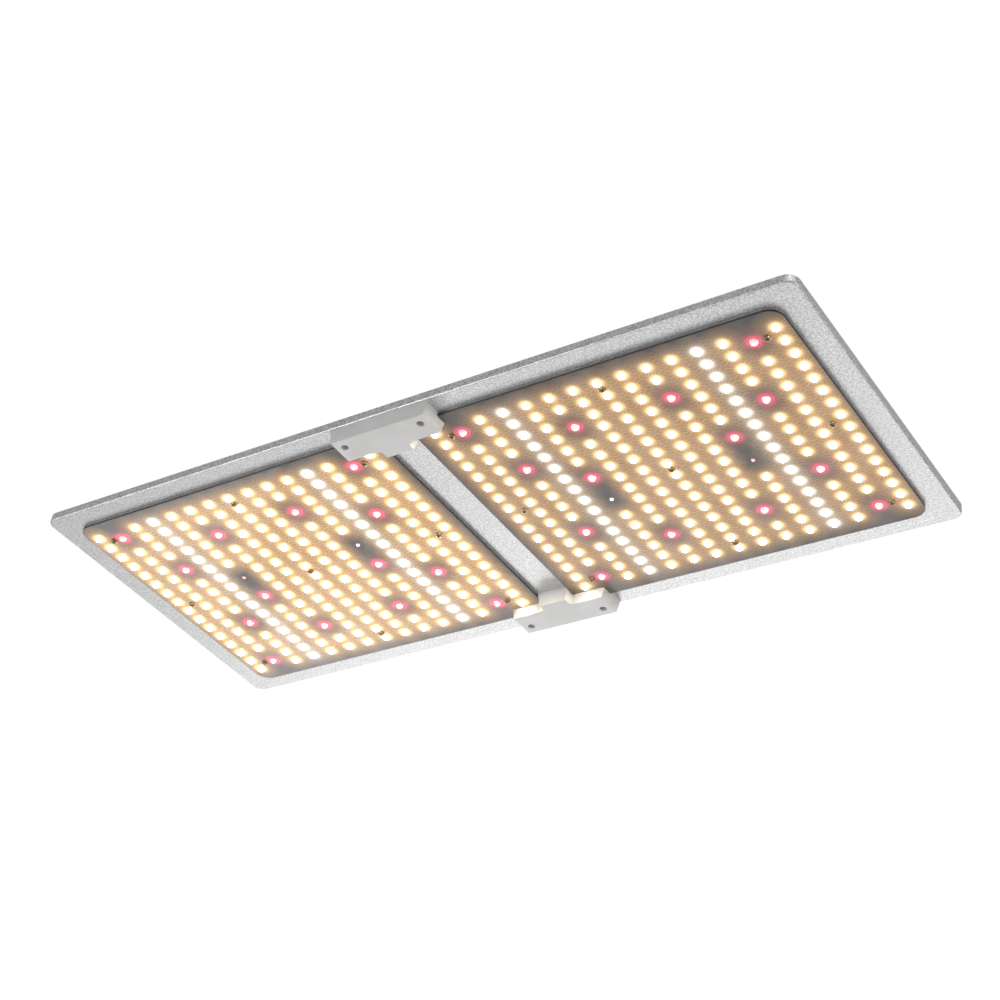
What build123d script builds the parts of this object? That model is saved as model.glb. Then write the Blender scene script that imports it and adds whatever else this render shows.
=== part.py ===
"""Two-board LED grow light that hangs face down over plants.

A pressed aluminium pan carries two LED boards on its underside, a pair of plastic covers over their
wire terminals, and on its top an LED driver with a dimmer and four swinging hang rings.

Millimetres. X runs along the lamp, +Z is up and the LEDs face -Z. The origin is the middle of the four
hang rings' hinge pins. -Y is the side that the driver's output cable is led to.
"""

import os
from math import cos, pi, radians, tan

from build123d import *

os.makedirs("parts", exist_ok=True)

# Pan: a 2.5 mm aluminium plate whose edge is turned up into a low rim.
PAN_LENGTH = 648.0
PAN_WIDTH = 271.0
PLATE_THICKNESS = 2.5
RIM_HEIGHT = 6.5
RIM_WALL = 2.2
PAN_CORNER = 9.0
PAN_EDGE_BEND = 1.3
PLATE_TOP = -1.8
PLATE_FACE = PLATE_TOP - PLATE_THICKNESS

# LED boards: one design used twice, the left one turned half a turn about Z.
BOARD_INNER_X = 13.9
BOARD_OUTER_X = 304.5
BOARD_WIDTH = 237.6
BOARD_CORNER = 11.0
BOARD_INNER_CORNER = 3.0
BOARD_THICKNESS = 1.6
PAD_THICKNESS = 0.9
PAD_INSET = 0.4
BOARD_LENGTH = BOARD_OUTER_X - BOARD_INNER_X
BOARD_MID_X = (BOARD_OUTER_X + BOARD_INNER_X) / 2
PAD_FACE = PLATE_FACE - PAD_THICKNESS
BOARD_FACE = PAD_FACE - BOARD_THICKNESS
HALF_TURN = 180

# LED grid: 15 columns of 16 places. A red, violet or infrared LED takes two places of its column.
COLUMNS = 15
ROWS = 16
COLUMN_PITCH = 19.0
ROW_PITCH = 13.68
FIRST_COLUMN_X = 29.1
COOL_COLUMNS = (3, 11)
RED_PLACES = ((1, 0), (1, 14), (2, 4), (2, 10), (4, 6), (5, 2), (5, 12), (9, 2), (9, 12), (10, 6),
              (12, 4), (12, 10), (13, 0), (13, 14))
VIOLET_PLACES = ((4, 8),)
INFRARED_PLACES = ((10, 8),)
DOME_RADIUS = 3.0
DOME_HEIGHT = 2.8
SMALL_DOME_RADIUS = 1.6
SMALL_DOME_HEIGHT = 1.3

# Screws through each board into the plate: a 3 by 3 grid between the LEDs.
BOARD_SCREW_X = (38.6, 162.1, 285.6)
BOARD_SCREW_Y = (-7 * ROW_PITCH, 0, 7 * ROW_PITCH)
BOARD_SCREW_SPOTS = [(x, y) for x in BOARD_SCREW_X for y in BOARD_SCREW_Y]
M3_SHANK = 1.4
M3_TAPPED = 1.5
M3_CLEAR = 1.65
M3_HEAD = 2.6
M3_HEAD_HEIGHT = 1.7
CROSS_LENGTH = 3.0
CROSS_WIDTH = 0.7
CROSS_DEPTH = 0.9

# Wire covers: T-shaped plastic shells over the board ends at the middle of both long edges.
COVER_HALF_LENGTH = 42.5
COVER_OUTER_Y = 134.3
COVER_INNER_Y = 108.0
COVER_TAB_Y = 100.0
COVER_TAB_HALF = 14.0
COVER_HEIGHT = 11.0
COVER_DRAFT = 11.0
COVER_WALL = 1.9
COVER_CORNER = 1.4
COVER_SCREW_X = 33.0
COVER_SCREW_Y = 124.4
COVER_BOSS = 3.6
COVER_RECESS = 2.9
COVER_RECESS_DEPTH = 5.0
COVER_BOARD_GAP = 0.25
COVER_BOTTOM = PLATE_FACE - COVER_HEIGHT

# Terminals, one at each end of a board, and the wires between them.
TERMINAL_X = 22.0
TERMINAL_Y = 115.3
TERMINAL_SIZE = (11.0, 6.0, 4.4)
TERMINAL_ENTRY_DEPTH = 4.0
WIRE_RADIUS = 0.8
WIRE_Z = BOARD_FACE - TERMINAL_SIZE[2] / 2
WIRE_END_X = TERMINAL_X - TERMINAL_SIZE[0] / 2 + TERMINAL_ENTRY_DEPTH - 1

# Driver: an aluminium extrusion with two end caps, on four standoffs.
CASE_LENGTH = 200.0
CASE_WIDTH = 68.0
CASE_HEIGHT = 38.0
CASE_WALL = 2.4
CASE_CORNER = 3.0
STANDOFF_HEIGHT = 6.0
CASE_BOTTOM = PLATE_TOP + STANDOFF_HEIGHT
CASE_MID_Z = CASE_BOTTOM + CASE_HEIGHT / 2
CASE_TOP = CASE_BOTTOM + CASE_HEIGHT
FLANGE_THICKNESS = 3.0
FLANGE_REACH = 12.0
FLANGE_HOLE_X = 88.0
FLANGE_HOLE_Y = CASE_WIDTH / 2 + 7.0
FIN_PITCH = 6.4
FIN_GROOVE = 3.0
FIN_DEPTH = 1.4
END_CAP_THICKNESS = 6.0
END_SCREW_Y = CASE_WIDTH / 2 - 5.5
END_SCREW_Z = CASE_HEIGHT / 2 - 5.5
SCREW_CHANNEL = 7.0
CASE_END_X = CASE_LENGTH / 2
CAP_FACE_X = CASE_END_X + END_CAP_THICKNESS
DRIVER_BOARD_Z = CASE_BOTTOM + CASE_WALL + 4.5
DRIVER_BOARD_THICKNESS = 1.6
DRIVER_BOARD_TOP = DRIVER_BOARD_Z + DRIVER_BOARD_THICKNESS
PILLAR_X = 82.0

# Cable glands, one in each end cap, and the dimmer beside the output gland.
GLAND_THREAD = 7.8
GLAND_HOLE = 8.0
GLAND_FLATS = 22.0
GLAND_COLLAR = 5.0
GLAND_SLEEVE = 7.0
GLAND_NUT = 15.0
OUTPUT_GLAND_Y = -15.0
POWER_CORD_RADIUS = 3.5
KNOB_Y = 17.0
KNOB_RADIUS = 8.0
KNOB_LENGTH = 11.0
KNOB_GAP = 0.8
KNOB_RIDGES = 24
SHAFT_RADIUS = 3.0
SHAFT_CLEARANCE = 0.1

# Output cable: round the end of the driver, along the plate and down through a grommet behind the
# -Y cover, where its two cores go on to the boards.
CABLE_RADIUS = 2.2
GROMMET_Y = -108.5
GROMMET_HOLE = 3.9
GROMMET_FLANGE = 5.4
GROMMET_LIP = 1.2
GROMMET_NECK = 2.4
CABLE_END_Z = PLATE_TOP - 0.2
CABLE_ON_PLATE_Z = PLATE_TOP + CABLE_RADIUS + 0.1
CABLE_ROUTE = [
    (-CASE_END_X - 2, OUTPUT_GLAND_Y, CASE_MID_Z),
    (-142, OUTPUT_GLAND_Y, CASE_MID_Z),
    (-181, -24, 15),
    (-206, -54, CABLE_ON_PLATE_Z),
    (-194, -90, CABLE_ON_PLATE_Z),
    (-158, -106, CABLE_ON_PLATE_Z),
    (-104, -111, CABLE_ON_PLATE_Z),
    (-46, GROMMET_Y, CABLE_ON_PLATE_Z),
    (-17, GROMMET_Y, 25),
    (0, GROMMET_Y, 17),
    (0, GROMMET_Y, CABLE_END_Z),
]
CLIPPED_RUNS = (5, 6)
CLIP_BORE = CABLE_RADIUS + 0.3
CLIP_LENGTH = 7.0
CLIP_RADIUS = CLIP_BORE + 1.4
CLIP_FOOT = 6.0
CLIP_FOOT_HEIGHT = 1.3

# Hang rings: wire D-rings that swing in riveted straps, one near each corner of the pan. A strap's
# foot points outward, so that its ring can lie flat either way.
RING_X = 250.0
RING_Y = 105.0
RING_WIRE = 1.5
RING_HALF_WIDTH = 11.0
RING_STRAIGHT = 10.0
RING_CORNER = 3.0
STRAP_BORE = RING_WIRE + 0.1
STRAP_THICKNESS = 1.2
STRAP_WIDTH = 13.0
STRAP_REACH = 11.0
RIVET_X = 3.4
RIVET_Y = 7.4
RIVET_SHANK = 1.5
RIVET_HEAD = 2.7
RIVET_HEAD_HEIGHT = 1.1


def save(part, name):
    """Labels a finished piece and writes it as its own STEP file."""
    part.label = name
    export_step(part, f"parts/{name}.step")


def turned(part, angle):
    """A copy of the part, turned about the lamp's Z axis."""
    return part.rotate(Axis.Z, angle)


def led_place(column, row):
    """Where an LED stands on the right board; row 0 is nearest to -Y."""
    return (FIRST_COLUMN_X + COLUMN_PITCH * column, (row - (ROWS - 1) / 2) * ROW_PITCH)


def paired_places(places):
    """Points halfway between the two grid places that a special LED takes."""
    return [led_place(column, row + 0.5) for column, row in places]


def plain_places(columns):
    """The grid places of these columns that no special LED takes."""
    taken = {
        (column, row + step)
        for column, row in RED_PLACES + VIOLET_PLACES + INFRARED_PLACES
        for step in (0, 1)
    }
    return [led_place(c, r) for c in columns for r in range(ROWS) if (c, r) not in taken]


# ---------------------------------------------------------------- pan


def make_pan():
    """Plate and rim in one pressing, with every hole the other pieces need."""
    with BuildPart() as pan:
        with BuildSketch(Plane.XY.offset(PLATE_FACE)):
            RectangleRounded(PAN_LENGTH, PAN_WIDTH, PAN_CORNER)
        extrude(amount=RIM_HEIGHT)
        fillet(pan.faces().sort_by(Axis.Z)[0].edges(), PAN_EDGE_BEND)
        with BuildSketch(Plane.XY.offset(PLATE_TOP)):
            RectangleRounded(PAN_LENGTH - 2 * RIM_WALL, PAN_WIDTH - 2 * RIM_WALL, PAN_CORNER - RIM_WALL)
        extrude(amount=RIM_HEIGHT, mode=Mode.SUBTRACT)
        with BuildSketch(Plane.XY.offset(PLATE_FACE)):
            with Locations(*[(side * x, y) for side in (-1, 1) for x, y in BOARD_SCREW_SPOTS]):
                Circle(M3_TAPPED)
            with GridLocations(2 * COVER_SCREW_X, 2 * COVER_SCREW_Y, 2, 2):
                Circle(M3_TAPPED)
            with GridLocations(2 * FLANGE_HOLE_X, 2 * FLANGE_HOLE_Y, 2, 2):
                Circle(M3_TAPPED)
            with GridLocations(2 * RING_X, 2 * (RING_Y + RIVET_Y), 2, 2):
                with GridLocations(2 * RIVET_X, 0, 2, 1):
                    Circle(M3_TAPPED)
            with Locations((0, GROMMET_Y)):
                Circle(GROMMET_HOLE)
        extrude(amount=PLATE_THICKNESS, mode=Mode.SUBTRACT)
    return pan.part


# ---------------------------------------------------------------- LED boards


def board_outline(inset=0.0):
    """The right board's outline: large outer corners, small inner ones."""
    with BuildSketch() as outline:
        with Locations((BOARD_MID_X, 0)):
            Rectangle(BOARD_LENGTH - 2 * inset, BOARD_WIDTH - 2 * inset)
        fillet(outline.vertices().group_by(Axis.X)[-1], BOARD_CORNER - inset)
        fillet(outline.vertices().group_by(Axis.X)[0], BOARD_INNER_CORNER)
    return outline.sketch


def make_board():
    """The right-hand circuit board."""
    with BuildPart() as board:
        with BuildSketch(Plane.XY.offset(BOARD_FACE)):
            add(board_outline())
            with Locations(*BOARD_SCREW_SPOTS):
                Circle(M3_CLEAR, mode=Mode.SUBTRACT)
        extrude(amount=BOARD_THICKNESS)
    return board.part


def make_thermal_pad():
    """The right-hand pad between board and plate."""
    with BuildPart() as pad:
        with BuildSketch(Plane.XY.offset(PAD_FACE)):
            add(board_outline(PAD_INSET))
            with Locations(*BOARD_SCREW_SPOTS):
                Circle(M3_CLEAR, mode=Mode.SUBTRACT)
        extrude(amount=PAD_THICKNESS)
    return pad.part


def make_leds(points, radius, height):
    """Domed LEDs of one kind on the right board, each its own solid."""
    sphere_radius = (radius**2 + height**2) / (2 * height)
    with BuildPart() as leds:
        with BuildSketch(Plane.XZ) as profile:
            with BuildLine():
                Line((0, 0), (radius, 0))
                RadiusArc((radius, 0), (0, -height), sphere_radius)
                Line((0, -height), (0, 0))
            make_face()
        dome = revolve(profile.sketch, Axis.Z, mode=Mode.PRIVATE)
        with Locations(*[(x, y, BOARD_FACE) for x, y in points]):
            add(dome)
    return leds.part


# ---------------------------------------------------------------- fasteners


def make_screw(length, head_radius=M3_HEAD, head_height=M3_HEAD_HEIGHT, shank=M3_SHANK):
    """A pan-head screw with its seat at the origin: the head hangs below and the shank points up."""
    with BuildPart() as screw:
        with BuildSketch():
            Circle(head_radius)
        extrude(amount=-head_height)
        fillet(screw.faces().sort_by(Axis.Z)[0].edges(), head_height * 0.55)
        with BuildSketch(Plane.XY.offset(-head_height)):
            Rectangle(CROSS_LENGTH, CROSS_WIDTH)
            Rectangle(CROSS_WIDTH, CROSS_LENGTH)
        extrude(amount=CROSS_DEPTH, mode=Mode.SUBTRACT)
        with BuildSketch():
            Circle(shank)
        extrude(amount=length)
        chamfer(screw.faces().sort_by(Axis.Z)[-1].edges(), 0.3)
    return screw.part


def place_copies(part, spots):
    """One piece repeated at these locations as separate solids."""
    with BuildPart() as group:
        with Locations(*spots):
            add(part)
    return group.part


# ---------------------------------------------------------------- wire covers


def cover_outline(inset=0.0):
    """The -Y cover's T-shaped outline."""
    half, tab = COVER_HALF_LENGTH - inset, COVER_TAB_HALF - inset
    outer, inner, tip = -COVER_OUTER_Y + inset, -COVER_INNER_Y - inset, -COVER_TAB_Y - inset
    with BuildSketch() as outline:
        with BuildLine():
            Polyline((-half, outer), (half, outer), (half, inner), (tab, inner), (tab, tip), (-tab, tip),
                     (-tab, inner), (-half, inner), close=True)
        make_face()
        fillet(outline.vertices(), max(COVER_CORNER - inset, 0.8))
    return outline.sketch


def make_cover():
    """The -Y cover: a drafted shell with two recessed screw bosses, notched over the boards."""
    spots = [(-COVER_SCREW_X, -COVER_SCREW_Y), (COVER_SCREW_X, -COVER_SCREW_Y)]
    with BuildPart() as cover:
        with BuildSketch(Plane.XY.offset(PLATE_FACE)):
            add(cover_outline())
        extrude(amount=-COVER_HEIGHT, taper=COVER_DRAFT)
        fillet(cover.faces().sort_by(Axis.Z)[0].edges(), 0.8)
        with BuildSketch(Plane.XY.offset(PLATE_FACE)):
            add(cover_outline(COVER_WALL))
        extrude(amount=-(COVER_HEIGHT - COVER_WALL), taper=COVER_DRAFT, mode=Mode.SUBTRACT)
        with BuildSketch(Plane.XY.offset(PLATE_FACE)):
            with Locations(*spots):
                Circle(COVER_BOSS)
        extrude(amount=-(COVER_HEIGHT - COVER_WALL / 2))
        with BuildSketch(Plane.XY.offset(COVER_BOTTOM)):
            with Locations(*spots):
                Circle(COVER_RECESS)
        extrude(amount=COVER_RECESS_DEPTH, mode=Mode.SUBTRACT)
        with BuildSketch(Plane.XY.offset(PLATE_FACE)):
            with Locations(*spots):
                Circle(M3_CLEAR)
        extrude(amount=-COVER_HEIGHT, mode=Mode.SUBTRACT)
        with BuildSketch(Plane.XY.offset(PLATE_FACE)):
            reach = BOARD_WIDTH / 2 + COVER_BOARD_GAP
            for side in (-1, 1):
                low_x = BOARD_INNER_X - COVER_BOARD_GAP
                with Locations((side * (low_x + COVER_HALF_LENGTH / 2), -reach / 2)):
                    Rectangle(COVER_HALF_LENGTH, reach)
        extrude(amount=BOARD_FACE - PLATE_FACE - COVER_BOARD_GAP, mode=Mode.SUBTRACT)
    return cover.part


def make_cover_screws():
    """The -Y cover's two screws, which bite into the plate."""
    seat = COVER_BOTTOM + COVER_RECESS_DEPTH
    screw = make_screw(PLATE_FACE - seat + PLATE_THICKNESS + 0.6)
    return place_copies(screw, [(x, -COVER_SCREW_Y, seat) for x in (-COVER_SCREW_X, COVER_SCREW_X)])


# ---------------------------------------------------------------- terminals and wires


def make_terminals():
    """The right board's two terminals, each with a wire entry that faces the middle of the lamp."""
    with BuildPart() as terminals:
        for side in (-1, 1):
            with Locations((TERMINAL_X, side * TERMINAL_Y, BOARD_FACE)):
                Box(*TERMINAL_SIZE, align=(Align.CENTER, Align.CENTER, Align.MAX))
        chamfer(terminals.faces().filter_by(Axis.Z).group_by(Axis.Z)[0].edges(), 0.5)
        with BuildSketch(Plane.YZ.offset(TERMINAL_X - TERMINAL_SIZE[0] / 2)):
            with Locations((-TERMINAL_Y, WIRE_Z), (TERMINAL_Y, WIRE_Z)):
                Circle(WIRE_RADIUS + 0.2)
        extrude(amount=TERMINAL_ENTRY_DEPTH, mode=Mode.SUBTRACT)
    return terminals.part


def bend_radii(points):
    """The largest tangent arc that each corner's two runs allow."""
    corners = [Vector(*p) for p in points]
    radii = []
    for before, here, after in zip(corners, corners[1:], corners[2:]):
        turn = (here - before).get_angle(after - here)
        run = min((here - before).length, (after - here).length)
        radii.append(0.45 * run / tan(radians(turn) / 2))
    return radii


def make_wire(name, points, radius):
    """A round wire along straight runs joined by tangent arcs."""
    radii = bend_radii(points)
    with BuildPart() as wire:
        with BuildLine() as route:
            FilletPolyline(*points, radius=radii)
        with BuildSketch(Plane(origin=points[0], z_dir=route.line % 0)):
            Circle(radius)
        sweep()
    length = sum(edge.length for edge in route.edges())
    by_volume = wire.part.volume / (pi * radius**2)
    print(name, "bend radii", [round(r, 1) for r in radii], "length", round(length, 1), round(by_volume, 1))
    return wire.part


def make_lead(name, side):
    """One core of the output cable, from the cable's end to a board's terminal."""
    start_x = side * (WIRE_RADIUS + 0.3)
    points = [
        (start_x, GROMMET_Y, CABLE_END_Z - 0.1),
        (start_x, GROMMET_Y, WIRE_Z + 2.7),
        (side * 4.2, GROMMET_Y - 1.5, WIRE_Z),
        (side * 13, -TERMINAL_Y, WIRE_Z),
        (side * WIRE_END_X, -TERMINAL_Y, WIRE_Z),
    ]
    return make_wire(name, points, WIRE_RADIUS)


def make_jumper(name):
    """The wire that joins the two boards in series behind the +Y cover."""
    slack = TERMINAL_Y - 4
    points = [(-WIRE_END_X, TERMINAL_Y, WIRE_Z), (-13, TERMINAL_Y, WIRE_Z), (-5, slack, WIRE_Z),
              (5, slack, WIRE_Z), (13, TERMINAL_Y, WIRE_Z), (WIRE_END_X, TERMINAL_Y, WIRE_Z)]
    return make_wire(name, points, WIRE_RADIUS)


def make_grommet():
    """Rubber ring with a tall neck above the plate and a lip below it."""
    with BuildPart() as grommet:
        with BuildSketch(Plane.XY.offset(PLATE_TOP)):
            with Locations((0, GROMMET_Y)):
                Circle(GROMMET_FLANGE)
        extrude(amount=GROMMET_NECK)
        fillet(grommet.faces().sort_by(Axis.Z)[-1].edges(), 0.8)
        with BuildSketch(Plane.XY.offset(PLATE_FACE)):
            with Locations((0, GROMMET_Y)):
                Circle(GROMMET_FLANGE)
        extrude(amount=-GROMMET_LIP)
        with BuildSketch(Plane.XY.offset(PLATE_FACE)):
            with Locations((0, GROMMET_Y)):
                Circle(GROMMET_HOLE - 0.1)
        extrude(amount=PLATE_THICKNESS)
        with BuildSketch(Plane.XY.offset(PLATE_FACE - GROMMET_LIP)):
            with Locations((0, GROMMET_Y)):
                Circle(CABLE_RADIUS + 0.3)
        extrude(amount=PLATE_THICKNESS + GROMMET_NECK + GROMMET_LIP, mode=Mode.SUBTRACT)
    return grommet.part


def make_cable_clips():
    """Two stick-on saddles that hold the cable to the plate."""
    with BuildPart() as clips:
        for run in CLIPPED_RUNS:
            start, end = Vector(*CABLE_ROUTE[run]), Vector(*CABLE_ROUTE[run + 1])
            middle = (start + end) * 0.5
            height = middle.Z - PLATE_TOP
            across = Vector(0, 0, 1).cross(end - start)
            with BuildSketch(Plane(origin=middle, x_dir=across, z_dir=end - start)):
                Circle(CLIP_RADIUS)
                with Locations((0, CLIP_FOOT_HEIGHT / 2 - height)):
                    Rectangle(2 * (CLIP_RADIUS + CLIP_FOOT), CLIP_FOOT_HEIGHT)
                Circle(CLIP_BORE, mode=Mode.SUBTRACT)
                with Locations((0, -height - CLIP_RADIUS)):
                    Rectangle(4 * CLIP_RADIUS, 2 * CLIP_RADIUS, mode=Mode.SUBTRACT)
            extrude(amount=CLIP_LENGTH / 2, both=True)
    return clips.part


# ---------------------------------------------------------------- driver


def make_case():
    """Driver extrusion: side flanges to bolt down, shallow fins on top, screw channels in the corners."""
    with BuildPart() as case:
        with BuildSketch(Plane.YZ.offset(-CASE_END_X)):
            with Locations((0, CASE_MID_Z)):
                RectangleRounded(CASE_WIDTH, CASE_HEIGHT, CASE_CORNER)
            with Locations((0, CASE_BOTTOM + FLANGE_THICKNESS / 2)):
                Rectangle(CASE_WIDTH + 2 * FLANGE_REACH, FLANGE_THICKNESS)
            with Locations((0, CASE_MID_Z)):
                Rectangle(CASE_WIDTH - 2 * CASE_WALL, CASE_HEIGHT - 2 * CASE_WALL, mode=Mode.SUBTRACT)
            with Locations((0, CASE_MID_Z)):
                with GridLocations(2 * END_SCREW_Y, 2 * END_SCREW_Z, 2, 2):
                    Rectangle(SCREW_CHANNEL, SCREW_CHANNEL)
                    Circle(M3_TAPPED, mode=Mode.SUBTRACT)
            with Locations((0, CASE_TOP - FIN_DEPTH / 2)):
                with GridLocations(FIN_PITCH, 0, 9, 1):
                    Rectangle(FIN_GROOVE, FIN_DEPTH, mode=Mode.SUBTRACT)
        extrude(amount=CASE_LENGTH)
        with BuildSketch(Plane.XY.offset(CASE_BOTTOM)):
            with GridLocations(2 * FLANGE_HOLE_X, 2 * FLANGE_HOLE_Y, 2, 2):
                Circle(M3_CLEAR)
        extrude(amount=FLANGE_THICKNESS, mode=Mode.SUBTRACT)
    return case.part


def make_end_cap(holes):
    """The +X end cap, with round holes given as (y, radius) on the case's mid height."""
    with BuildPart() as cap:
        with BuildSketch(Plane.YZ.offset(CASE_END_X)):
            with Locations((0, CASE_MID_Z)):
                RectangleRounded(CASE_WIDTH + 1, CASE_HEIGHT + 1, CASE_CORNER)
            for y, radius in holes:
                with Locations((y, CASE_MID_Z)):
                    Circle(radius, mode=Mode.SUBTRACT)
            with Locations((0, CASE_MID_Z)):
                with GridLocations(2 * END_SCREW_Y, 2 * END_SCREW_Z, 2, 2):
                    Circle(M3_CLEAR, mode=Mode.SUBTRACT)
        extrude(amount=END_CAP_THICKNESS)
        outer = cap.faces().sort_by(Axis.X)[-1].outer_wire().edges()
        fillet(outer, 1.5)
    return cap.part


def make_end_screws():
    """The +X end cap's four screws, heads outward."""
    screw = make_screw(END_CAP_THICKNESS + 8).rotate(Axis.Y, -90)
    spots = [
        (CAP_FACE_X, y, CASE_MID_Z + z)
        for y in (-END_SCREW_Y, END_SCREW_Y)
        for z in (-END_SCREW_Z, END_SCREW_Z)
    ]
    return place_copies(screw, spots)


def make_gland_body(y, bore):
    """Threaded gland body through the +X cap, with a hexagonal collar outside."""
    with BuildPart() as body:
        with BuildSketch(Plane.YZ.offset(CASE_END_X - 3)):
            with Locations((y, CASE_MID_Z)):
                Circle(GLAND_THREAD)
        extrude(amount=END_CAP_THICKNESS + 3 + GLAND_COLLAR + GLAND_SLEEVE)
        with BuildSketch(Plane.YZ.offset(CAP_FACE_X)):
            with Locations((y, CASE_MID_Z)):
                RegularPolygon(GLAND_FLATS / 2, 6, major_radius=False)
        extrude(amount=GLAND_COLLAR)
        with BuildSketch(Plane.YZ.offset(CASE_END_X - 3)):
            with Locations((y, CASE_MID_Z)):
                Circle(bore + 0.6)
        extrude(amount=30, mode=Mode.SUBTRACT)
    return body.part


def make_gland_nut(y, bore):
    """Dome nut: hexagonal at its root, rounded at its mouth."""
    start = CAP_FACE_X + GLAND_COLLAR + 0.2
    with BuildPart() as nut:
        with BuildSketch(Plane.YZ.offset(start)):
            with Locations((y, CASE_MID_Z)):
                RegularPolygon(GLAND_FLATS / 2, 6, major_radius=False)
        extrude(amount=GLAND_NUT * 0.55)
        with BuildSketch(Plane.YZ.offset(start)):
            with Locations((y, CASE_MID_Z)):
                Circle(GLAND_FLATS / 2 - 0.6)
        extrude(amount=GLAND_NUT)
        fillet(nut.faces().sort_by(Axis.X)[-1].edges(), 3.5)
        with BuildSketch(Plane.YZ.offset(start)):
            with Locations((y, CASE_MID_Z)):
                Circle(GLAND_THREAD + 0.15)
        extrude(amount=GLAND_NUT - 2, mode=Mode.SUBTRACT)
        with BuildSketch(Plane.YZ.offset(start)):
            with Locations((y, CASE_MID_Z)):
                Circle(bore + 1.2)
        extrude(amount=GLAND_NUT, mode=Mode.SUBTRACT)
    return nut.part


def make_gland_seal(y, bore):
    """Rubber sleeve inside the dome nut, which grips the cord."""
    start = CAP_FACE_X + GLAND_COLLAR + GLAND_SLEEVE + 0.1
    with BuildPart() as seal:
        with BuildSketch(Plane.YZ.offset(start)):
            with Locations((y, CASE_MID_Z)):
                Circle(GLAND_THREAD)
                Circle(bore, mode=Mode.SUBTRACT)
        extrude(amount=GLAND_NUT - GLAND_SLEEVE - 2)
    return seal.part


def make_standoffs():
    """Four round spacers between plate and driver flanges."""
    with BuildPart() as standoffs:
        with BuildSketch(Plane.XY.offset(PLATE_TOP)):
            with GridLocations(2 * FLANGE_HOLE_X, 2 * FLANGE_HOLE_Y, 2, 2):
                RegularPolygon(3.2, 6, major_radius=False)
                Circle(M3_CLEAR, mode=Mode.SUBTRACT)
        extrude(amount=STANDOFF_HEIGHT)
    return standoffs.part


def make_driver_screws():
    """Four screws from above, through flange and standoff, into the plate."""
    seat = CASE_BOTTOM + FLANGE_THICKNESS
    screw = make_screw(FLANGE_THICKNESS + STANDOFF_HEIGHT + PLATE_THICKNESS - 0.4).rotate(Axis.X, HALF_TURN)
    spots = [(x, y, seat) for x in (-FLANGE_HOLE_X, FLANGE_HOLE_X) for y in (-FLANGE_HOLE_Y, FLANGE_HOLE_Y)]
    return place_copies(screw, spots)


def make_driver_board():
    """Power supply circuit board, on four short pillars inside the case."""
    with BuildPart() as board:
        with BuildSketch(Plane.XY.offset(DRIVER_BOARD_Z)):
            Rectangle(176, 46)
        extrude(amount=DRIVER_BOARD_THICKNESS)
        with BuildSketch(Plane.XY.offset(CASE_BOTTOM + CASE_WALL)):
            with GridLocations(2 * PILLAR_X, 36, 2, 2):
                Circle(2.5)
        extrude(amount=DRIVER_BOARD_Z - CASE_BOTTOM - CASE_WALL)
    return board.part


def make_transformer():
    """Ferrite transformer: winding drum between two core plates."""
    with BuildPart() as transformer:
        with Locations((8, 0, DRIVER_BOARD_TOP)):
            Box(34, 30, 4, align=(Align.CENTER, Align.CENTER, Align.MIN))
            Cylinder(13, 20, align=(Align.CENTER, Align.CENTER, Align.MIN))
        with Locations((8, 0, DRIVER_BOARD_TOP + 18)):
            Box(34, 30, 4, align=(Align.CENTER, Align.CENTER, Align.MIN))
    return transformer.part


def make_capacitors():
    """Mains and output electrolytic capacitors."""
    with BuildPart() as capacitors:
        for x, y, radius, height in ((48, 0, 9, 22), (-34, -10, 6, 20), (-34, 10, 6, 20), (-50, 0, 6, 20)):
            with BuildSketch(Plane.XY.offset(DRIVER_BOARD_TOP)):
                with Locations((x, y)):
                    Circle(radius)
            extrude(amount=height)
        fillet(capacitors.faces().filter_by(Axis.Z).group_by(Axis.Z)[-1].edges(), 0.8)
    return capacitors.part


def make_choke():
    """Mains filter choke: a wound toroid standing on the board."""
    with BuildPart() as choke:
        with BuildSketch(Plane.YZ.offset(66)):
            with Locations((0, DRIVER_BOARD_TOP + 11)):
                Circle(11)
                Circle(5, mode=Mode.SUBTRACT)
        extrude(amount=10)
        fillet(choke.edges().filter_by(GeomType.CIRCLE), 2)
    return choke.part


# ---------------------------------------------------------------- dimmer, on the output cap


def make_potentiometer():
    """Dimmer potentiometer behind the output cap, open where its shaft turns."""
    with BuildPart() as pot:
        with BuildSketch(Plane.YZ.offset(CASE_END_X - 9)):
            with Locations((KNOB_Y, CASE_MID_Z)):
                Circle(8)
                Circle(SHAFT_RADIUS + SHAFT_CLEARANCE, mode=Mode.SUBTRACT)
        extrude(amount=8.6)
    return pot.part


def make_shaft():
    """Potentiometer shaft, through the cap into the knob."""
    with BuildPart() as shaft:
        with BuildSketch(Plane.YZ.offset(CASE_END_X - 8)):
            with Locations((KNOB_Y, CASE_MID_Z)):
                Circle(SHAFT_RADIUS)
        extrude(amount=8 + END_CAP_THICKNESS + KNOB_GAP + KNOB_LENGTH - 3)
    return shaft.part


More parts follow.
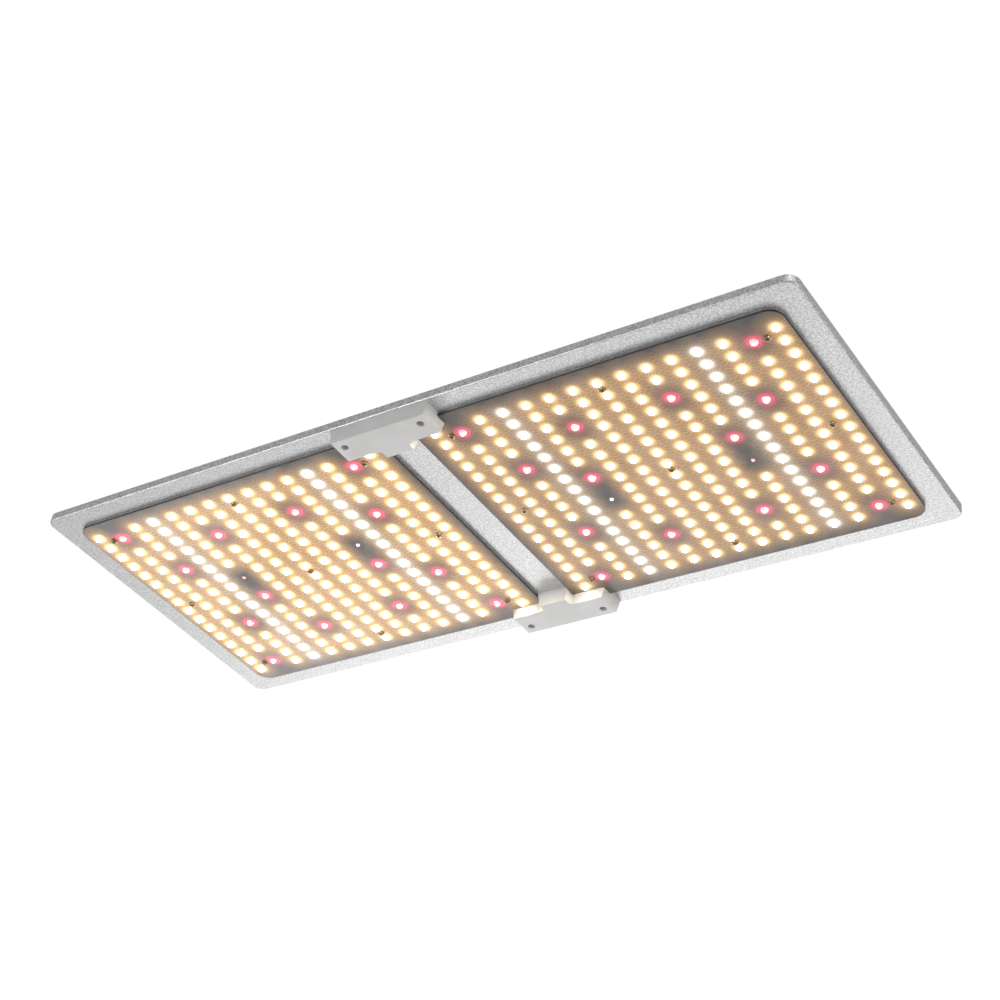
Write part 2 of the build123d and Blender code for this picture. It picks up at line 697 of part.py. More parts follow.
def make_knob():
    """Ridged dimmer knob with a pointer groove, bored for the shaft."""
    start = CAP_FACE_X + KNOB_GAP
    with BuildPart() as knob:
        with BuildSketch(Plane.YZ.offset(start)):
            with Locations((KNOB_Y, CASE_MID_Z)):
                Circle(KNOB_RADIUS)
                with PolarLocations(KNOB_RADIUS, KNOB_RIDGES):
                    Circle(0.55, mode=Mode.SUBTRACT)
        extrude(amount=KNOB_LENGTH)
        chamfer(knob.faces().sort_by(Axis.X)[-1].edges(), 0.4)
        with BuildSketch(Plane.YZ.offset(start + KNOB_LENGTH)):
            with Locations((KNOB_Y, CASE_MID_Z + KNOB_RADIUS / 2)):
                Rectangle(1.0, KNOB_RADIUS * 0.7)
        extrude(amount=-0.6, mode=Mode.SUBTRACT)
        with BuildSketch(Plane.YZ.offset(start)):
            with Locations((KNOB_Y, CASE_MID_Z)):
                Circle(SHAFT_RADIUS + 0.02)
        extrude(amount=KNOB_LENGTH - 3 + 0.1, mode=Mode.SUBTRACT)
    return knob.part


# ---------------------------------------------------------------- hang rings


def make_ring():
    """D-ring at the origin: its straight leg on the X axis and its bow towards +Y."""
    half, corner, straight = RING_HALF_WIDTH, RING_CORNER, RING_STRAIGHT
    diagonal = corner * (1 - cos(radians(45)))
    with BuildPart() as ring:
        with BuildLine():
            Line((0, 0), (half - corner, 0))
            ThreePointArc((half - corner, 0), (half - diagonal, diagonal), (half, corner))
            Line((half, corner), (half, straight))
            ThreePointArc((half, straight), (0, straight + half), (-half, straight))
            Line((-half, straight), (-half, corner))
            ThreePointArc((-half, corner), (-half + diagonal, diagonal), (-half + corner, 0))
            Line((-half + corner, 0), (0, 0))
        with BuildSketch(Plane.YZ):
            Circle(RING_WIRE)
        sweep()
    return ring.part


def make_strap():
    """Folded strap at the origin: it holds a ring's straight leg down, and its foot points to -Y."""
    outer = STRAP_BORE + STRAP_THICKNESS
    with BuildPart() as strap:
        with BuildSketch(Plane.YZ.offset(-STRAP_WIDTH / 2)):
            Circle(outer)
            with Locations((0, PLATE_TOP / 2)):
                Rectangle(2 * outer, -PLATE_TOP)
            with Locations((-STRAP_REACH / 2, PLATE_TOP + STRAP_THICKNESS / 2)):
                Rectangle(STRAP_REACH, STRAP_THICKNESS)
            Circle(STRAP_BORE, mode=Mode.SUBTRACT)
            with Locations((0, PLATE_TOP / 2)):
                Rectangle(2 * STRAP_BORE, -PLATE_TOP, mode=Mode.SUBTRACT)
            with Locations((0, PLATE_TOP - outer)):
                Rectangle(4 * outer, 2 * outer, mode=Mode.SUBTRACT)
        extrude(amount=STRAP_WIDTH)
        foot_corners = strap.edges().filter_by(Axis.Z).group_by(Axis.Y)[0]
        fillet(foot_corners, 2.5)
        with BuildSketch(Plane.XY.offset(PLATE_TOP)):
            with Locations((-RIVET_X, -RIVET_Y), (RIVET_X, -RIVET_Y)):
                Circle(RIVET_SHANK + 0.1)
        extrude(amount=STRAP_THICKNESS, mode=Mode.SUBTRACT)
    return strap.part


def make_rivet():
    """Rivet at the origin of the strap, heads above the strap and flush with the pan's face."""
    seat = PLATE_TOP + STRAP_THICKNESS
    with BuildPart() as rivet:
        with BuildSketch(Plane.XY.offset(seat)):
            Circle(RIVET_HEAD)
        extrude(amount=RIVET_HEAD_HEIGHT)
        fillet(rivet.faces().sort_by(Axis.Z)[-1].edges(), RIVET_HEAD_HEIGHT * 0.8)
        with BuildSketch(Plane.XY.offset(seat)):
            Circle(RIVET_SHANK - 0.05)
        extrude(amount=-(STRAP_THICKNESS + PLATE_THICKNESS))
    return rivet.part


CORNERS = {
    "near_left": (-RING_X, -RING_Y),
    "near_right": (RING_X, -RING_Y),
    "far_left": (-RING_X, RING_Y),
    "far_right": (RING_X, RING_Y),
}


def save_hangers():
    """One ring and strap at each corner; every ring's bow lies towards the middle of the lamp."""
    ring, strap, rivet = make_ring(), make_strap(), make_rivet()
    for name, (x, y) in CORNERS.items():
        spot = Location((x, y, 0), (0, 0, 0 if y < 0 else HALF_TURN))
        save(ring.moved(spot), f"hang_ring_{name}")
        save(strap.moved(spot), f"hang_strap_{name}")
    spots = [
        (x + step, y + RIVET_Y * (-1 if y < 0 else 1), 0)
        for x, y in CORNERS.values()
        for step in (-RIVET_X, RIVET_X)
    ]
    save(place_copies(rivet, spots), "hang_strap_rivets")


# ---------------------------------------------------------------- write every piece


def save_pair(part, name):
    """Saves a right-hand piece and its left-hand twin."""
    save(part, f"{name}_right")
    save(turned(part, HALF_TURN), f"{name}_left")


save(make_pan(), "pan")

warm_columns = [c for c in range(COLUMNS) if c not in COOL_COLUMNS]
board_screw = make_screw(BOARD_THICKNESS + PAD_THICKNESS + PLATE_THICKNESS + 0.8)
board_screw_spots = [(x, y, BOARD_FACE) for x, y in BOARD_SCREW_SPOTS]
save_pair(make_board(), "led_board")
save_pair(make_thermal_pad(), "thermal_pad")
save_pair(place_copies(board_screw, board_screw_spots), "board_screws")
save_pair(make_leds(plain_places(warm_columns), DOME_RADIUS, DOME_HEIGHT), "warm_leds")
save_pair(make_leds(plain_places(COOL_COLUMNS), DOME_RADIUS, DOME_HEIGHT), "cool_leds")
save_pair(make_leds(paired_places(RED_PLACES), DOME_RADIUS, DOME_HEIGHT), "red_leds")
save_pair(make_leds(paired_places(VIOLET_PLACES), SMALL_DOME_RADIUS, SMALL_DOME_HEIGHT), "violet_led")
save_pair(make_leds(paired_places(INFRARED_PLACES), SMALL_DOME_RADIUS, SMALL_DOME_HEIGHT), "infrared_led")
save_pair(make_terminals(), "terminals")

for side_name, angle in (("near", 0), ("far", HALF_TURN)):
    save(turned(make_cover(), angle), f"wire_cover_{side_name}")
    save(turned(make_cover_screws(), angle), f"cover_screws_{side_name}")
for name, side in (("positive_lead", -1), ("negative_lead", 1)):
    save(make_lead(name, side), name)
save(make_jumper("series_jumper"), "series_jumper")
save(make_grommet(), "grommet")
save(make_wire("output_cable", CABLE_ROUTE, CABLE_RADIUS), "output_cable")
save(make_cable_clips(), "cable_clips")

save(make_case(), "driver_case")
save(make_end_cap([(0, GLAND_HOLE)]), "input_end_cap")
output_holes = [(-OUTPUT_GLAND_Y, GLAND_HOLE), (-KNOB_Y, SHAFT_RADIUS + SHAFT_CLEARANCE)]
save(turned(make_end_cap(output_holes), HALF_TURN), "output_end_cap")
save(make_end_screws(), "input_cap_screws")
save(turned(make_end_screws(), HALF_TURN), "output_cap_screws")
save(make_gland_body(0, POWER_CORD_RADIUS), "power_gland_body")
save(make_gland_nut(0, POWER_CORD_RADIUS), "power_gland_nut")
save(make_gland_seal(0, POWER_CORD_RADIUS), "power_gland_seal")
save(turned(make_gland_body(-OUTPUT_GLAND_Y, CABLE_RADIUS), HALF_TURN), "output_gland_body")
save(turned(make_gland_nut(-OUTPUT_GLAND_Y, CABLE_RADIUS), HALF_TURN), "output_gland_nut")
save(turned(make_gland_seal(-OUTPUT_GLAND_Y, CABLE_RADIUS + 0.05), HALF_TURN), "output_gland_seal")
save(make_standoffs(), "driver_standoffs")
save(make_driver_screws(), "driver_screws")
save(make_driver_board(), "driver_board")
save(make_transformer(), "driver_transformer")
save(make_capacitors(), "driver_capacitors")
save(make_choke(), "driver_choke")

save(make_potentiometer().mirror(Plane.YZ), "dimmer_potentiometer")
save(make_shaft().mirror(Plane.YZ), "dimmer_shaft")
save(make_knob().mirror(Plane.YZ), "dimmer_knob")

save_hangers()
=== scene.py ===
"""Looks of the LED grow light: lit LEDs over a lacquered board, pebbled pan, moulded covers and driver."""

import math

import bpy
import numpy as np
from mathutils import Matrix, Vector


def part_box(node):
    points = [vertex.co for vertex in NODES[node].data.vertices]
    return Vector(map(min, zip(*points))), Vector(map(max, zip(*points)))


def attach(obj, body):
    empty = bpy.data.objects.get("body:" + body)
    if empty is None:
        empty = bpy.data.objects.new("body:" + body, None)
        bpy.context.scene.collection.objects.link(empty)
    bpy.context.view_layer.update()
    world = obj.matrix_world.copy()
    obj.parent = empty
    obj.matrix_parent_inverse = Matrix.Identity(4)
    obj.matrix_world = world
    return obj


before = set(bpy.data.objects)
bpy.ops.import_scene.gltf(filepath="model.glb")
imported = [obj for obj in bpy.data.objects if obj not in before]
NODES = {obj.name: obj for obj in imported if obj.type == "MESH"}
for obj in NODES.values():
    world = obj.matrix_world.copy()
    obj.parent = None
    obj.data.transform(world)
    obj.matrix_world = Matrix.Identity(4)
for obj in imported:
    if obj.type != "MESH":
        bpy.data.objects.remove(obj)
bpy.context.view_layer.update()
LAMP = "lamp"
MM = 0.001

# ---------------------------------------------------------------- camera

CAMERA_PLACE = (0.7560, -0.9355, -0.8548)
CAMERA_TARGET = (0.0159, -0.0019, 0.0081)
CAMERA_ROLL = math.radians(8.93)
LENS_MM = 71.19


def add_camera():
    """A camera below the lamp, near one end, looking up at its lit face."""
    data = bpy.data.cameras.new("camera")
    data.lens = LENS_MM
    data.clip_start = 0.05
    camera = bpy.data.objects.new("camera", data)
    bpy.context.scene.collection.objects.link(camera)
    look = Vector(CAMERA_TARGET) - Vector(CAMERA_PLACE)
    turn = look.to_track_quat("-Z", "Y").to_matrix() @ Matrix.Rotation(CAMERA_ROLL, 3, "Z")
    camera.matrix_world = Matrix.Translation(CAMERA_PLACE) @ turn.to_4x4()
    bpy.context.scene.camera = camera


# ---------------------------------------------------------------- studio

WALL_DIRECTION = (-0.503, 0.635, 0.587)
WALL_WHITE = 1.02
ROOM_GREY = 0.46
WALL_EDGE = (0.80, 0.925)
FLOOR_DROP = 1.25
FLOOR_HALF = 9.0


def add_area_light(name, place, target, size, watts):
    """A soft rectangular lamp aimed at a point."""
    data = bpy.data.lights.new(name, "AREA")
    data.shape = "RECTANGLE"
    data.size, data.size_y = size
    data.energy = watts
    light = bpy.data.objects.new(name, data)
    bpy.context.scene.collection.objects.link(light)
    light.location = place
    light.rotation_euler = (Vector(target) - Vector(place)).to_track_quat("-Z", "Y").to_euler()


def add_room():
    """A grey room with one white wall, which is fixed in the world behind and above the lamp."""
    world = bpy.data.worlds.new("studio")
    world.use_nodes = True
    tree = world.node_tree
    direction = tree.nodes.new("ShaderNodeTexCoord").outputs["Generated"]
    towards_wall = tree.nodes.new("ShaderNodeVectorMath")
    towards_wall.operation = "DOT_PRODUCT"
    towards_wall.inputs[1].default_value = WALL_DIRECTION
    tree.links.new(direction, towards_wall.inputs[0])
    brightness = tree.nodes.new("ShaderNodeMapRange")
    brightness.interpolation_type = "SMOOTHSTEP"
    brightness.inputs["From Min"].default_value, brightness.inputs["From Max"].default_value = WALL_EDGE
    brightness.inputs["To Min"].default_value = ROOM_GREY
    brightness.inputs["To Max"].default_value = WALL_WHITE
    tree.links.new(towards_wall.outputs["Value"], brightness.inputs["Value"])
    tree.links.new(brightness.outputs["Result"], tree.nodes["Background"].inputs["Strength"])
    tree.nodes["Background"].inputs["Color"].default_value = (1, 1, 1, 1)
    bpy.context.scene.world = world


def add_studio():
    """The room, a pale floor far below, and soft lamps for the underside and the top."""
    add_room()

    mesh = bpy.data.meshes.new("floor")
    corners = [(-1, -1), (1, -1), (1, 1), (-1, 1)]
    mesh.from_pydata([(x * FLOOR_HALF, y * FLOOR_HALF, -FLOOR_DROP) for x, y in corners], [], [(0, 1, 2, 3)])
    floor = bpy.data.objects.new("floor", mesh)
    bpy.context.scene.collection.objects.link(floor)
    paper = new_material("floor_paper")
    shader = paper.node_tree.nodes["Principled BSDF"]
    shader.inputs["Base Color"].default_value = (0.72, 0.72, 0.72, 1)
    shader.inputs["Roughness"].default_value = 0.9
    mesh.materials.append(paper)

    add_area_light("far_softbox", (-0.75, 2.15, -0.95), (0, 0.1, 0), (2.6, 0.6), 21)
    add_area_light("near_softbox", (-1.0, -1.15, -1.15), (0, -0.1, 0), (0.4, 0.3), 11)
    add_area_light("left_softbox", (-1.5, 0.80, -1.15), (-0.15, -0.1, 0), (0.6, 0.5), 1.0)
    add_area_light("right_softbox", (1.9, 0.2, -0.5), (0, 0, 0), (0.8, 0.8), 8)
    add_area_light("top_softbox", (1.0, -0.7, 1.9), (0, 0, 0), (1.2, 1.2), 19)


# ---------------------------------------------------------------- material helpers


def new_material(name):
    """A material with a Principled shader."""
    material = bpy.data.materials.new(name)
    material.use_nodes = True
    return material


class Nodes:
    """Short calls for building one material's node tree."""

    def __init__(self, name):
        self.material = new_material(name)
        self.tree = self.material.node_tree
        self.shader = self.tree.nodes["Principled BSDF"]

    def add(self, kind, inputs=None, **settings):
        """A node with these settings, its inputs set to values or linked to sockets."""
        node = self.tree.nodes.new(kind)
        for key, value in settings.items():
            setattr(node, key, value)
        for key, value in (inputs or {}).items():
            self.set(node.inputs[key], value)
        return node

    def set(self, socket, value):
        """Links a socket, or sets its value."""
        if isinstance(value, bpy.types.NodeSocket):
            self.tree.links.new(value, socket)
        elif socket.type == "RGBA" and len(value) == 3:
            socket.default_value = (*value, 1)
        else:
            socket.default_value = value

    def finish(self, **values):
        """Sets the shader's own sockets, named with underscores for spaces."""
        for key, value in values.items():
            self.set(self.shader.inputs[key.replace("_", " ")], value)
        return self.material

    def place(self):
        """The point on the object, in metres."""
        return self.add("ShaderNodeTexCoord").outputs["Object"]

    def math(self, operation, *values):
        """The result of a maths node."""
        node = self.add("ShaderNodeMath", operation=operation)
        for socket, value in zip(node.inputs, values):
            self.set(socket, value)
        return node.outputs[0]

    def noise(self, size_mm, detail=3.0, roughness=0.55, vector=None):
        """Noise whose blobs are about this size."""
        node = self.add(
            "ShaderNodeTexNoise",
            {
                "Vector": vector or self.place(),
                "Scale": 1 / (size_mm * MM),
                "Detail": detail,
                "Roughness": roughness,
            },
        )
        return node.outputs["Fac"]

    def stretched(self, scale):
        """The object's place, scaled along each axis."""
        node = self.add("ShaderNodeMapping", {"Vector": self.place(), "Scale": scale})
        return node.outputs["Vector"]

    def span(self, value, low, high, from_low=0.0, from_high=1.0):
        """A value moved from one range to another."""
        node = self.add(
            "ShaderNodeMapRange",
            {"Value": value, "From Min": from_low, "From Max": from_high, "To Min": low, "To Max": high},
        )
        return node.outputs["Result"]

    def mix(self, factor, first, second, blend="MIX"):
        """Two colours mixed."""
        node = self.add("ShaderNodeMix", data_type="RGBA", blend_type=blend)
        self.set(node.inputs["Factor"], factor)
        colour_in = [socket for socket in node.inputs if socket.type == "RGBA"]
        self.set(colour_in[0], first)
        self.set(colour_in[1], second)
        return next(socket for socket in node.outputs if socket.type == "RGBA")

    def ramp(self, value, stops):
        """A colour ramp through (position, colour) stops."""
        node = self.add("ShaderNodeValToRGB", {"Fac": value})
        elements = node.color_ramp.elements
        while len(elements) < len(stops):
            elements.new(0.5)
        for element, (position, colour) in zip(elements, stops):
            element.position = position
            element.color = (*colour, 1)
        return node.outputs["Color"]

    def bump(self, height, depth_mm, strength):
        """A normal from a height of 0 to 1 that stands for this depth."""
        inputs = {"Height": height, "Distance": depth_mm * MM, "Strength": strength}
        return self.add("ShaderNodeBump", inputs).outputs["Normal"]


def paint(material, *names):
    """Gives a material to CAD nodes; a name that ends in * stands for all that start so."""
    for name in names:
        hits = [n for n in NODES if n == name or (name.endswith("*") and n.startswith(name[:-1]))]
        if not hits:
            raise ValueError(f"no node called {name}")
        for hit in hits:
            slots = NODES[hit].data.materials
            slots.clear()
            slots.append(material)


# ---------------------------------------------------------------- metals and plastics


def pebbled_silver():
    """The pan's textured silver coat: fine pebbles and broad cloudy patches in tone."""
    n = Nodes("pan_pebbled_silver")
    pebbles = n.noise(1.5, detail=2.5, roughness=0.6)
    clouds = n.noise(45, detail=3)
    colour = n.mix(n.span(pebbles, 0, 1, 0.38, 0.62), (0.42, 0.42, 0.425), (0.73, 0.73, 0.735))
    colour = n.mix(n.span(clouds, 0.0, 0.2, 0.3, 0.7), colour, (0.58, 0.57, 0.56))
    return n.finish(
        Base_Color=colour,
        Metallic=0.8,
        Roughness=n.span(pebbles, 0.34, 0.5, 0.3, 0.7),
        Normal=n.bump(pebbles, 0.26, 0.85),
    )


def moulded_plastic(name, colour, grain_mm=0.5, roughness=(0.28, 0.36), depth=0.015, subsurface=0.0):
    """Injection-moulded plastic: soft sheen, fine grain and slow sink variation."""
    n = Nodes(name)
    grain = n.noise(grain_mm, detail=2)
    sink = n.noise(22, detail=1)
    dark = tuple(c * 0.93 for c in colour)
    return n.finish(
        Base_Color=n.mix(n.span(sink, 0, 1, 0.35, 0.65), dark, colour),
        Roughness=n.span(sink, *roughness, 0.35, 0.65),
        Subsurface_Weight=subsurface,
        Subsurface_Scale=0.003,
        Normal=n.bump(grain, depth, 0.5),
    )


def turned_metal(name, colour, roughness=(0.22, 0.38)):
    """Plated or turned metal with fine marks and dulled patches."""
    n = Nodes(name)
    marks = n.noise(0.35, detail=4, roughness=0.7)
    patches = n.noise(5, detail=3)
    dull = tuple(c * 0.78 for c in colour)
    return n.finish(
        Base_Color=n.mix(n.span(patches, 0, 1, 0.35, 0.7), colour, dull),
        Metallic=1.0,
        Roughness=n.span(patches, *roughness, 0.3, 0.7),
        Normal=n.bump(marks, 0.01, 0.5),
    )


def extruded_aluminium():
    """Anodised extrusion with die lines along the driver."""
    n = Nodes("driver_extrusion")
    lines = n.noise(0.5, detail=3, vector=n.stretched((0.012, 1, 1)))
    patches = n.noise(30, detail=2)
    return n.finish(
        Base_Color=n.mix(n.span(lines, 0, 1, 0.3, 0.7), (0.50, 0.505, 0.51), (0.60, 0.605, 0.61)),
        Metallic=1.0,
        Roughness=n.span(patches, 0.30, 0.40, 0.3, 0.7),
        Normal=n.bump(lines, 0.02, 0.5),
    )


def powder_coat(name, colour):
    """Satin powder coat with orange peel."""
    n = Nodes(name)
    peel = n.noise(0.9, detail=2)
    light = tuple(min(1.0, c * 1.35 + 0.01) for c in colour)
    return n.finish(
        Base_Color=n.mix(n.span(peel, 0, 1, 0.4, 0.7), colour, light),
        Roughness=n.span(peel, 0.42, 0.55, 0.3, 0.7),
        Normal=n.bump(peel, 0.05, 0.5),
    )


def rubber(name, colour):
    """Matte rubber or silicone with a faint bloom."""
    n = Nodes(name)
    bloom = n.noise(6, detail=4)
    light = tuple(c * 1.4 + 0.012 for c in colour)
    return n.finish(
        Base_Color=n.mix(n.span(bloom, 0, 1, 0.4, 0.75), colour, light),
        Roughness=n.span(bloom, 0.5, 0.68, 0.3, 0.7),
        Normal=n.bump(n.noise(0.3, detail=2), 0.01, 0.5),
    )


# ---------------------------------------------------------------- LEDs and board

BOARD_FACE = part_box("led_board_right")[0][2]
LENS_SHARPNESS = (0.45, 0.75)
RED_SHARPNESS = (0.84, 0.95)
SMALL_SHARPNESS = (0.35, 0.85)
VIOLET_CLEAR = (0.2, 0.18, 0.22)
INFRARED_CLEAR = (0.2, 0.15, 0.15)
WHITE_STRENGTH = 40.0
WARM_STRENGTH = 42.0


def lit_lens(name, core, edge, strength, clear=(0.9, 0.9, 0.9), sharpness=LENS_SHARPNESS):
    """A lit silicone lens: burnt-out where it faces down, coloured where its side curves away."""
    n = Nodes(name)
    normal = n.add("ShaderNodeTexCoord").outputs["Normal"]
    split = n.add("ShaderNodeSeparateXYZ", {"Vector": normal})
    facing = n.math("MULTIPLY", split.outputs["Z"], -1.0)
    grain = n.noise(0.8, detail=2)
    facing = n.math("ADD", facing, n.span(grain, -0.04, 0.04))
    glow = n.ramp(facing, [(sharpness[0], edge), (sharpness[1], core)])
    return n.finish(
        Base_Color=clear,
        Roughness=0.2,
        Emission_Color=glow,
        Emission_Strength=strength,
    )


# Painted halo of each kind of LED on the board, as emission: (radius in mm, colour of the painted light) from
# the lens outward.
PAINTED_HALOS = {
    "warm_leds": (
        (3.0, (1.30, 1.02, 0.52)),
        (4.3, (0.92, 0.64, 0.25)),
        (5.6, (0.50, 0.295, 0.098)),
        (7.0, (0.26, 0.142, 0.047)),
        (10.0, (0.13, 0.068, 0.022)),
    ),
    "cool_leds": (
        (3.2, (1.3, 1.22, 1.10)),
        (4.3, (0.90, 0.82, 0.70)),
        (5.6, (0.42, 0.34, 0.24)),
        (7.0, (0.23, 0.165, 0.105)),
        (10.0, (0.11, 0.068, 0.032)),
    ),
    "red_leds": (
        (2.8, (0.98, 0.065, 0.15)),
        (5.2, (0.72, 0.045, 0.105)),
        (6.6, (0.25, 0.025, 0.045)),
        (9.0, (0.06, 0.014, 0.014)),
    ),
}
# Strength of the painted LED glow on each board.
PAINTED_BOARD_GLOW = {"right": 0.95, "left": 1.35}
LED_PITCH = (19.0 * MM, 13.68 * MM)
FIRST_LED = (29.1 * MM, 6.84 * MM)
# Number of painted light streaks round each LED.
RAYS = 17


def island_centres(node):
    """The centres, seen from below, of a CAD node's separate solids."""
    mesh = NODES[node].data
    points = np.empty(len(mesh.vertices) * 3)
    mesh.vertices.foreach_get("co", points)
    points = points.reshape(-1, 3)
    parent = list(range(len(points)))

    def root(i):
        while parent[i] != i:
            parent[i] = parent[parent[i]]
            i = parent[i]
        return i

    keys = {}
    for i, key in enumerate(map(tuple, np.round(points, 6))):
        j = keys.setdefault(key, i)
        parent[root(i)] = root(j)
    for edge in mesh.edges:
        a, b = edge.vertices
        parent[root(a)] = root(b)
    groups = {}
    for i in range(len(points)):
        groups.setdefault(root(i), []).append(i)
    return np.array([(points[g].min(0) + points[g].max(0))[:2] / 2 for g in groups.values()])


LACQUER_STEP = 0.9 * MM
LACQUER_INSET = 0.25 * MM
LACQUER_FACE = 0.06 * MM
LACQUER_BACK = 0.02 * MM
BOARD_CORNER = 11 * MM
# FALLOFF is how far, in mm, the painted halo reaches from an LED.
FALLOFF = 17.0


def painted_halo_light(points, side):
    """Painted light: the glow that the LEDs of one board throw on these points of its lacquer, as colours for
    its emission.
    """
    light = np.zeros((len(points), 3))
    for kind, stops in PAINTED_HALOS.items():
        radii = np.array([0.0] + [r * MM for r, _ in stops] + [FALLOFF * MM])
        levels = np.array([stops[0][1]] + [colour for _, colour in stops] + [(0, 0, 0)])
        for centre in island_centres(f"{kind}_{side}"):
            near = np.abs(points - centre).max(1) < FALLOFF * MM
            distance = np.linalg.norm(points[near] - centre, axis=1)
            light[near] += np.column_stack([np.interp(distance, radii, levels[:, c]) for c in range(3)])
    return light * PAINTED_BOARD_GLOW[side]


def add_lacquer_painted_glow(side, material):
    """A clear, glossy skin over one board, whose colours carry the painted glow round each LED."""
    low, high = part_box(f"led_board_{side}")
    x0, x1 = low[0] + LACQUER_INSET, high[0] - LACQUER_INSET
    y0, y1 = low[1] + LACQUER_INSET, high[1] - LACQUER_INSET
    columns = int((x1 - x0) / LACQUER_STEP)
    rows = int((y1 - y0) / LACQUER_STEP)
    xs, ys = np.meshgrid(np.linspace(x0, x1, columns + 1), np.linspace(y0, y1, rows + 1))
    points = np.column_stack([xs.ravel(), ys.ravel()])
    outer_x = x1 if side == "right" else x0
    inward = -1 if side == "right" else 1
    radius = BOARD_CORNER - LACQUER_INSET
    for y_edge, y_in in ((y0, 1), (y1, -1)):
        centre = np.array([outer_x + inward * radius, y_edge + y_in * radius])
        offset = points - centre
        beyond = (offset[:, 0] * inward < 0) & (offset[:, 1] * y_in < 0)
        distance = np.linalg.norm(offset, axis=1)
        pull = beyond & (distance > radius)
        points[pull] = centre + offset[pull] * (radius / distance[pull])[:, None]
    across = columns + 1
    faces = []
    for r in range(rows):
        for c in range(columns):
            a = r * across + c
            faces.append((a, a + across, a + across + 1, a + 1))
    last = rows * across
    rim = list(range(columns)) + list(range(columns, last + columns, across))
    rim += list(range(last + columns, last, -1)) + list(range(last, 0, -across))
    front = len(points)
    backs = list(range(front, front + len(rim)))
    for i, a in enumerate(rim):
        j = (i + 1) % len(rim)
        faces.append((a, rim[j], backs[j], backs[i]))
    faces.append(tuple(backs))
    heights = np.full(front + len(rim), BOARD_FACE - LACQUER_FACE)
    heights[front:] = BOARD_FACE - LACQUER_BACK
    points = np.vstack([points, points[rim]])
    mesh = bpy.data.meshes.new(f"board_lacquer_painted_glow_{side}")
    mesh.from_pydata([(x, y, z) for (x, y), z in zip(points, heights)], [], faces)
    # The painted LED glow, stored as a colour on each point of the skin.
    painted_halo = mesh.color_attributes.new("painted_halo", "FLOAT_COLOR", "POINT")
    colours = np.ones((len(points), 4))
    colours[:, :3] = painted_halo_light(points, side)
    painted_halo.data.foreach_set("color", colours.ravel())
    mesh.materials.append(material)
    skin = bpy.data.objects.new(f"board_lacquer_painted_glow_{side}", mesh)
    bpy.context.scene.collection.objects.link(skin)
    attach(skin, LAMP)


def lacquer_painted_glow():
    """Brown-grey lacquer: gloss over faint copper pours, made to glow by the painted LED halo and painted
    light streaks round the LEDs.
    """
    n = Nodes("board_lacquer_painted_glow")
    painted_halo = n.add("ShaderNodeVertexColor", layer_name="painted_halo").outputs["Color"]
    pours = n.noise(28, detail=2)
    place = n.add("ShaderNodeSeparateXYZ", {"Vector": n.place()})
    local = []
    for axis, first, pitch in zip("XY", FIRST_LED, LED_PITCH):
        along = n.math("SUBTRACT", n.math("ABSOLUTE", place.outputs[axis]), first - pitch / 2)
        local.append(n.math("SUBTRACT", n.math("FLOORED_MODULO", along, pitch), pitch / 2))
    # Painted light: radial streaks round each LED, which vary the painted glow in the lacquer's emission.
    angle = n.math("ARCTAN2", local[1], local[0])
    wander = n.span(n.noise(9, detail=1), -2.5, 2.5)
    rays = n.math("SINE", n.math("ADD", n.math("MULTIPLY", angle, RAYS), wander))
    patchy = n.span(n.noise(4, detail=2), 0.4, 1.0, 0.35, 0.6)
    painted_streaks = n.span(n.math("MULTIPLY", rays, patchy), 0.0, 1.0, -1.0, 1.0)
    base = n.mix(n.span(pours, 0, 1, 0.4, 0.6), (0.085, 0.074, 0.068), (0.110, 0.096, 0.088))
    light = n.mix(1.0, painted_halo, n.ramp(painted_streaks, [(0.0, (0.58, 0.58, 0.58)), (1.0, (1.0, 1.0, 1.0))]), "MULTIPLY")
    return n.finish(
        Base_Color=base,
        Roughness=n.span(pours, 0.16, 0.24, 0.35, 0.65),
        Coat_Weight=0.4,
        Emission_Color=light,
        Emission_Strength=1.2,
        Normal=n.bump(n.noise(6, detail=2), 0.02, 0.5),
    )


def board_edge():
    """Dark cut edge and back of the circuit board."""
    n = Nodes("board_edge")
    fibres = n.noise(0.6, detail=3)
    return n.finish(
        Base_Color=n.mix(n.span(fibres, 0, 1, 0.3, 0.7), (0.02, 0.018, 0.017), (0.06, 0.05, 0.045)),
        Roughness=0.45,
        Normal=n.bump(fibres, 0.03, 0.5),
    )


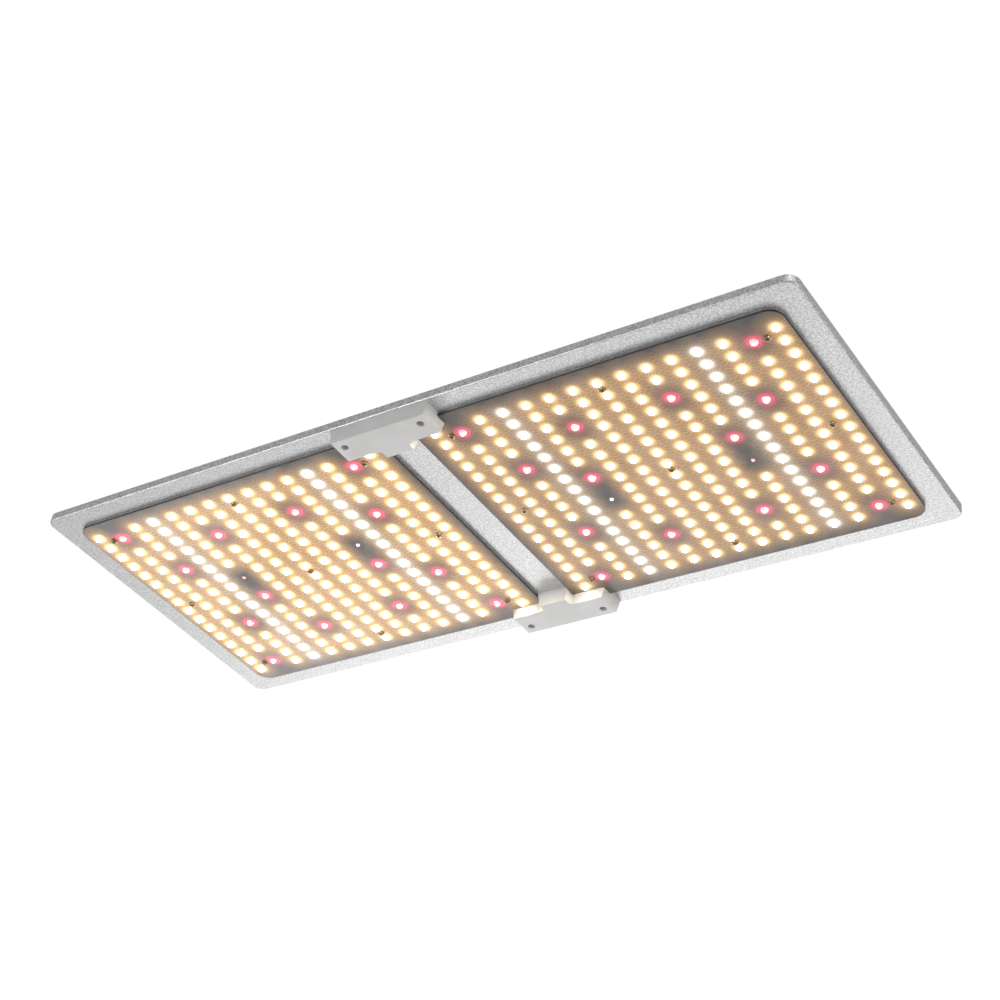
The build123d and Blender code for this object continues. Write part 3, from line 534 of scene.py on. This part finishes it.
def finish_lamp_face():
    """Materials of everything on the underside."""
    paint(pebbled_silver(), "pan")
    paint(board_edge(), "led_board_*")
    paint(rubber("thermal_pad_grey", (0.35, 0.36, 0.37)), "thermal_pad_*")
    # The lacquer skins carry the painted LED glow.
    lacquer = lacquer_painted_glow()
    add_lacquer_painted_glow("right", lacquer)
    add_lacquer_painted_glow("left", lacquer)
    warm = lit_lens("warm_lens", (1.0, 0.93, 0.74), (0.030, 0.0215, 0.0095), WARM_STRENGTH)
    cool = lit_lens("cool_lens", (1.0, 0.98, 0.95), (0.030, 0.028, 0.024), WHITE_STRENGTH)
    red = lit_lens("red_lens", (1.0, 0.62, 0.80), (0.80, 0.035, 0.12), 1.7, sharpness=RED_SHARPNESS)
    violet = lit_lens(
        "violet_lens", (0.85, 0.68, 0.90), (0.18, 0.13, 0.20), 3.4, VIOLET_CLEAR, SMALL_SHARPNESS
    )
    infrared = lit_lens(
        "infrared_lens", (0.80, 0.30, 0.28), (0.12, 0.03, 0.03), 2.2, INFRARED_CLEAR, SMALL_SHARPNESS
    )
    paint(warm, "warm_leds_*")
    paint(cool, "cool_leds_*")
    paint(red, "red_leds_*")
    paint(violet, "violet_led_*")
    paint(infrared, "infrared_led_*")
    paint(turned_metal("screw_brass_black", (0.30, 0.22, 0.14)), "board_screws_*")
    paint(turned_metal("cover_screw_steel", (0.62, 0.61, 0.60)), "cover_screws_*")
    paint(
        moulded_plastic("cover_white", (0.60, 0.595, 0.59), subsurface=0.05),
        "wire_cover_*",
        "terminals_*",
    )
    paint(rubber("wire_red", (0.50, 0.03, 0.03)), "positive_lead")
    paint(rubber("wire_black", (0.02, 0.02, 0.02)), "negative_lead")
    paint(rubber("wire_white", (0.70, 0.70, 0.68)), "series_jumper")


def finish_lamp_top():
    """Materials of the driver, its cable and the hang rings."""
    paint(extruded_aluminium(), "driver_case")
    paint(powder_coat("end_cap_black", (0.035, 0.035, 0.037)), "input_end_cap", "output_end_cap")
    black = moulded_plastic("gland_black", (0.022, 0.022, 0.024), 0.7, (0.36, 0.46), 0.03)
    paint(black, "power_gland_body", "power_gland_nut", "cable_clips")
    paint(black, "output_gland_body", "output_gland_nut")
    paint(moulded_plastic("knob_black", (0.03, 0.03, 0.032), 0.4, (0.42, 0.52), 0.02), "dimmer_knob")
    cable = rubber("cable_black", (0.018, 0.018, 0.019))
    paint(cable, "output_cable", "grommet", "power_gland_seal", "output_gland_seal")
    zinc = turned_metal("plated_steel", (0.62, 0.63, 0.64))
    paint(zinc, "hang_ring_*", "hang_strap_near_*", "hang_strap_far_*")
    paint(zinc, "driver_screws", "input_cap_screws", "output_cap_screws")
    paint(turned_metal("rivet_aluminium", (0.72, 0.72, 0.73), (0.3, 0.45)), "hang_strap_rivets")
    paint(turned_metal("standoff_brass", (0.66, 0.50, 0.22)), "driver_standoffs")
    paint(turned_metal("shaft_metal", (0.66, 0.66, 0.66)), "dimmer_shaft", "dimmer_potentiometer")
    paint(powder_coat("driver_board_green", (0.02, 0.14, 0.06)), "driver_board")
    paint(powder_coat("ferrite_grey", (0.06, 0.055, 0.055)), "driver_transformer", "driver_choke")
    paint(moulded_plastic("capacitor_sleeve", (0.03, 0.04, 0.10)), "driver_capacitors")


bpy.context.scene.view_settings.view_transform = "Standard"
add_camera()
add_studio()
finish_lamp_face()
finish_lamp_top()
